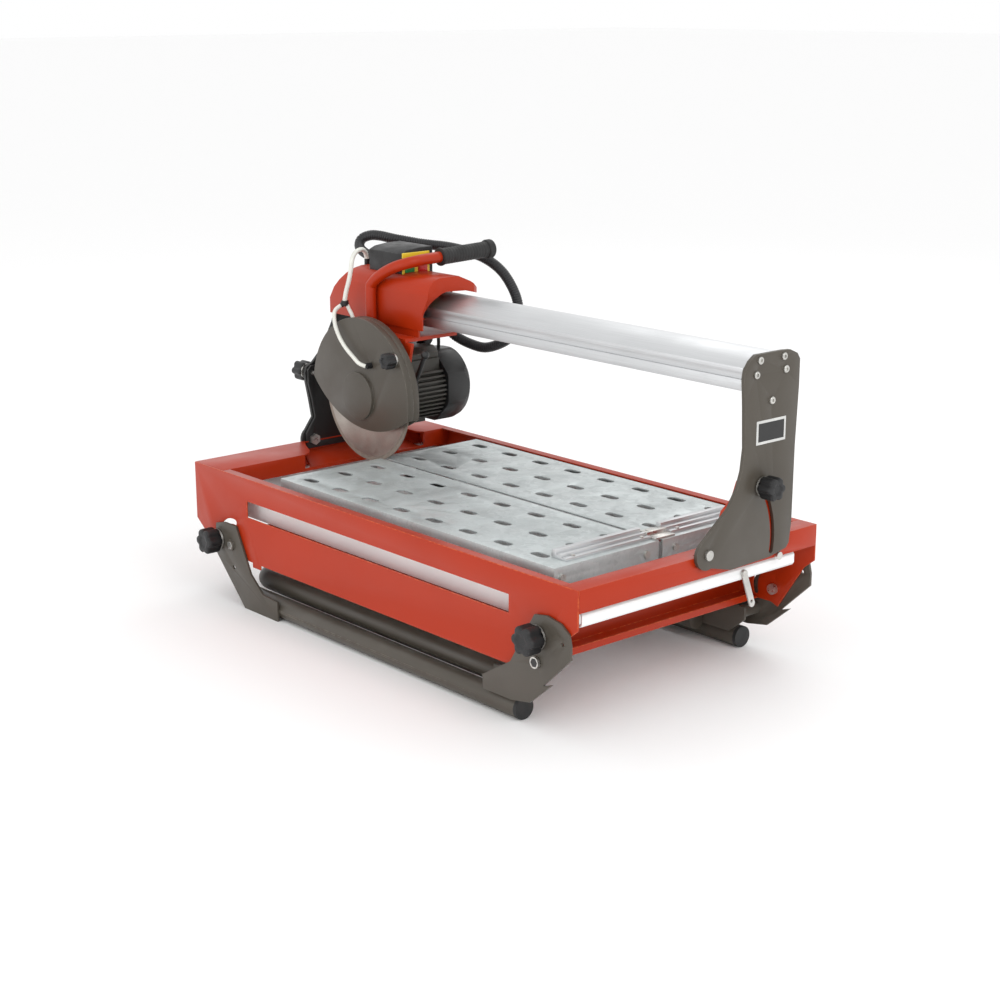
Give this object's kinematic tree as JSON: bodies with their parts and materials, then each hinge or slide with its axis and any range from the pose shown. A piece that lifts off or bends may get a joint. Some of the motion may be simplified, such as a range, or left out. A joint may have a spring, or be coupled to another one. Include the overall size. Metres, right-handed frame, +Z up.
{
  "type": "wet tile saw",
  "caption": "Folding wet tile saw: perforated table over a slide-out water tray, saw head with motor and guard that rolls along a bevelling rail, folding legs.",
  "frame": {"origin": "on the floor under the middle of the frame, legs folded", "axes": "+X along the rail towards the tray's pull end, +Y from the operator's side to the rail side, +Z up"},
  "size_m": [1.0246, 0.564, 0.5885],
  "materials": {
    "orange_paint": "satin",
    "dark_paint": "satin",
    "black_paint": "satin",
    "galvanised": "satin",
    "steel": "satin",
    "bright": "polished",
    "rail_aluminium": "satin",
    "motor_casting": "satin",
    "stator_iron": "rough",
    "black_plastic": "matte",
    "grey_plastic": "matte",
    "yellow_plastic": "satin",
    "green_plastic": "satin",
    "red_plastic": "satin",
    "tray_plastic": "satin",
    "hose_plastic": "satin",
    "grip_rubber": "matte",
    "blade_steel": "satin"
  },
  "bodies": {
    "frame": {"side_panel_near": "orange_paint", "side_panel_far": "orange_paint", "end_beam_left": "orange_paint", "end_beam_right": "orange_paint", "lower_cross_rails": "orange_paint", "bevel_bracket_left": "black_paint", "bevel_bracket_right": "orange_paint", "inner_supports": "orange_paint", "table_near": "galvanised", "table_far": "galvanised", "fence_strips": "rail_aluminium", "fence_pointer": "bright", "frame_fasteners": "steel"},
    "tray": {"water_tray": "tray_plastic", "drain_plug": "black_plastic", "water_pump": "grey_plastic"},
    "tray_pull": {"tray_pull": "steel"},
    "gantry": {"post_left": "black_paint", "post_right": "dark_paint", "guide_rail": "rail_aluminium", "post_screws": "steel"},
    "bevel_knob_left": {"bevel_knob_left": "black_plastic"},
    "bevel_knob_right": {"bevel_knob_right": "black_plastic"},
    "head": {"carriage_frame": "orange_paint", "carriage_cover": "orange_paint", "roller_axles": "steel", "motor_housing": "motor_casting", "fan_cowl": "black_paint", "terminal_box": "motor_casting", "motor_stator": "stator_iron", "motor_bearings": "steel", "blade_guard_front": "dark_paint", "blade_guard_back": "dark_paint", "switch_box": "black_plastic", "switch_bezel": "yellow_plastic", "handle_tube": "orange_paint", "handle_grip": "grip_rubber", "head_screws": "steel", "motor_conduit": "black_plastic", "water_hoses": "hose_plastic", "cord_fittings": "grey_plastic", "depth_lever": "black_paint"},
    "roller_near_rear": {"roller_near_rear": "black_plastic"},
    "roller_near_front": {"roller_near_front": "black_plastic"},
    "roller_far_rear": {"roller_far_rear": "black_plastic"},
    "roller_far_front": {"roller_far_front": "black_plastic"},
    "guard_knob": {"guard_knob": "black_plastic"},
    "spindle": {"saw_blade": "blade_steel", "blade_clamp": "steel", "arbor_shaft": "steel", "motor_rotor": "stator_iron"},
    "start_button": {"start_button": "green_plastic"},
    "stop_button": {"stop_button": "red_plastic"},
    "leg_left": {"leg_left": "dark_paint", "leg_left_caps": "grip_rubber"},
    "leg_right": {"leg_right": "dark_paint"},
    "leg_knob_left_near": {"leg_knob_left_near": "black_plastic"},
    "leg_knob_left_far": {"leg_knob_left_far": "black_plastic"},
    "leg_knob_right_near": {"leg_knob_right_near": "black_plastic"},
    "leg_knob_right_far": {"leg_knob_right_far": "black_plastic"}
  },
  "joints": [
    {"name": "bevel_tilt", "type": "hinge", "parent": "frame", "child": "gantry", "pos_m": [0, 0, 0.227], "axis": [1, 0, 0], "range_deg": [0, 45]},
    {"name": "head_travel", "type": "slide", "parent": "gantry", "child": "head", "axis": [1, 0, 0], "range_m": [0, 0.58]},
    {"name": "blade_spin", "type": "hinge", "parent": "head", "child": "spindle", "pos_m": [-0.312, 0, 0.333], "axis": [0, 1, 0], "continuous": true},
    {"name": "tray_slide", "type": "slide", "parent": "frame", "child": "tray", "axis": [1, 0, 0], "range_m": [0, 0.4]},
    {"name": "tray_pull_swing", "type": "hinge", "parent": "tray", "child": "tray_pull", "pos_m": [0.47, 0.091, 0.179], "axis": [1, 0, 0], "range_deg": [-70, 40]},
    {"name": "leg_left_fold", "type": "hinge", "parent": "frame", "child": "leg_left", "pos_m": [-0.363, 0, 0.1024], "axis": [0, 1, 0], "range_deg": [0, 95]},
    {"name": "leg_right_fold", "type": "hinge", "parent": "frame", "child": "leg_right", "pos_m": [0.398, 0, 0.105], "axis": [0, -1, 0], "range_deg": [0, 111]},
    {"name": "guard_knob_turn", "type": "hinge", "parent": "head", "child": "guard_knob", "pos_m": [-0.215, -0.03, 0.408], "axis": [0, -1, 0], "range_deg": [0, 360]},
    {"name": "bevel_knob_left_turn", "type": "hinge", "parent": "frame", "child": "bevel_knob_left", "pos_m": [-0.49, 0.001, 0.347], "axis": [-1, 0, 0], "range_deg": [0, 360]},
    {"name": "bevel_knob_right_turn", "type": "hinge", "parent": "frame", "child": "bevel_knob_right", "pos_m": [0.49, 0.11, 0.309], "axis": [1, 0, 0], "range_deg": [0, 360]},
    {"name": "start_press", "type": "slide", "parent": "head", "child": "start_button", "axis": [-1, 0, 0], "range_m": [0, 0.003], "stiffness_N_per_m": 600, "springref_m": -0.002},
    {"name": "stop_press", "type": "slide", "parent": "head", "child": "stop_button", "axis": [-1, 0, 0], "range_m": [0, 0.003], "stiffness_N_per_m": 600, "springref_m": -0.002},
    {"name": "roller_near_rear_roll", "type": "hinge", "parent": "head", "child": "roller_near_rear", "pos_m": [-0.385, 0.0617, 0.474], "axis": [0, 0, 1], "range_deg": [-3400, 3400]},
    {"name": "roller_near_front_roll", "type": "hinge", "parent": "head", "child": "roller_near_front", "pos_m": [-0.245, 0.0617, 0.474], "axis": [0, 0, 1], "range_deg": [-3400, 3400]},
    {"name": "roller_far_rear_roll", "type": "hinge", "parent": "head", "child": "roller_far_rear", "pos_m": [-0.39, 0.1883, 0.474], "axis": [0, 0, 1], "range_deg": [-3400, 3400]},
    {"name": "roller_far_front_roll", "type": "hinge", "parent": "head", "child": "roller_far_front", "pos_m": [-0.35, 0.1883, 0.474], "axis": [0, 0, 1], "range_deg": [-3400, 3400]},
    {"name": "leg_knob_left_near_turn", "type": "hinge", "parent": "leg_left", "child": "leg_knob_left_near", "pos_m": [-0.403, -0.26, 0.105], "axis": [0, -1, 0], "range_deg": [0, 360]},
    {"name": "leg_knob_left_far_turn", "type": "hinge", "parent": "leg_left", "child": "leg_knob_left_far", "pos_m": [-0.403, 0.26, 0.105], "axis": [0, 1, 0], "range_deg": [0, 360]},
    {"name": "leg_knob_right_near_turn", "type": "hinge", "parent": "leg_right", "child": "leg_knob_right_near", "pos_m": [0.4, -0.26, 0.142], "axis": [0, -1, 0], "range_deg": [0, 360]},
    {"name": "leg_knob_right_far_turn", "type": "hinge", "parent": "leg_right", "child": "leg_knob_right_far", "pos_m": [0.4, 0.26, 0.142], "axis": [0, 1, 0], "range_deg": [0, 360]}
  ],
  "couplings": [
    {"joint": "roller_near_rear_roll", "follows": "head_travel", "rad_per_m": 100},
    {"joint": "roller_near_front_roll", "follows": "head_travel", "rad_per_m": 100},
    {"joint": "roller_far_rear_roll", "follows": "head_travel", "rad_per_m": -100},
    {"joint": "roller_far_front_roll", "follows": "head_travel", "rad_per_m": -100}
  ]
}
